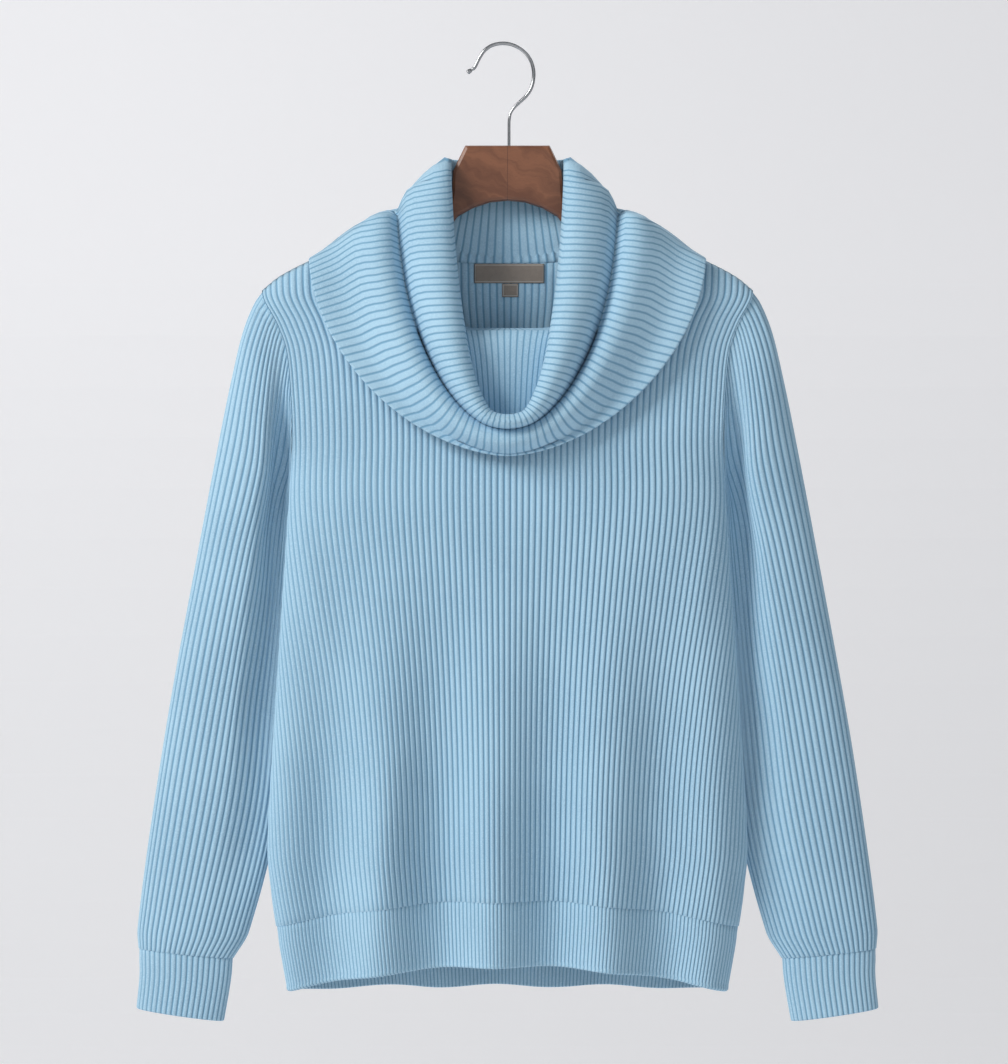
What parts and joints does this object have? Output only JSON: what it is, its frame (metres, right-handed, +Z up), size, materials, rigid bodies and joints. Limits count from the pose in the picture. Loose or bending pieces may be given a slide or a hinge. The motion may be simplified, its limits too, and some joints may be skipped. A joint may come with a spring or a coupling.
{
  "type": "ribbed cowl-neck sweater on a wooden hanger",
  "caption": "Long-sleeved ribbed knit sweater with a deep folded cowl collar, hanging open from a plain wooden hanger with a steel hook.",
  "frame": {"origin": "underside of the hook's bend, where a rail or a peg holds the hanger", "axes": "+Z up along the shank of the hook, -Y out of the front of the sweater, +X to the right as seen from the front"},
  "size_m": [0.639, 0.1035, 0.842],
  "materials": {
    "wool": "soft brushed rib knit, pale sky blue",
    "label_tape": "woven satin tape, taupe",
    "walnut": "satin walnut",
    "steel": "polished chrome plate"
  },
  "bodies": {
    "root": {"front_panel": "wool", "back_panel": "wool", "hem_front": "wool", "hem_back": "wool", "sleeve_left": "wool", "cuff_left": "wool", "sleeve_right": "wool", "cuff_right": "wool", "collar": "wool", "neck_label": "label_tape", "size_tab": "label_tape", "hanger_body": "walnut", "hanger_hook": "steel"}
  },
  "joints": []
}
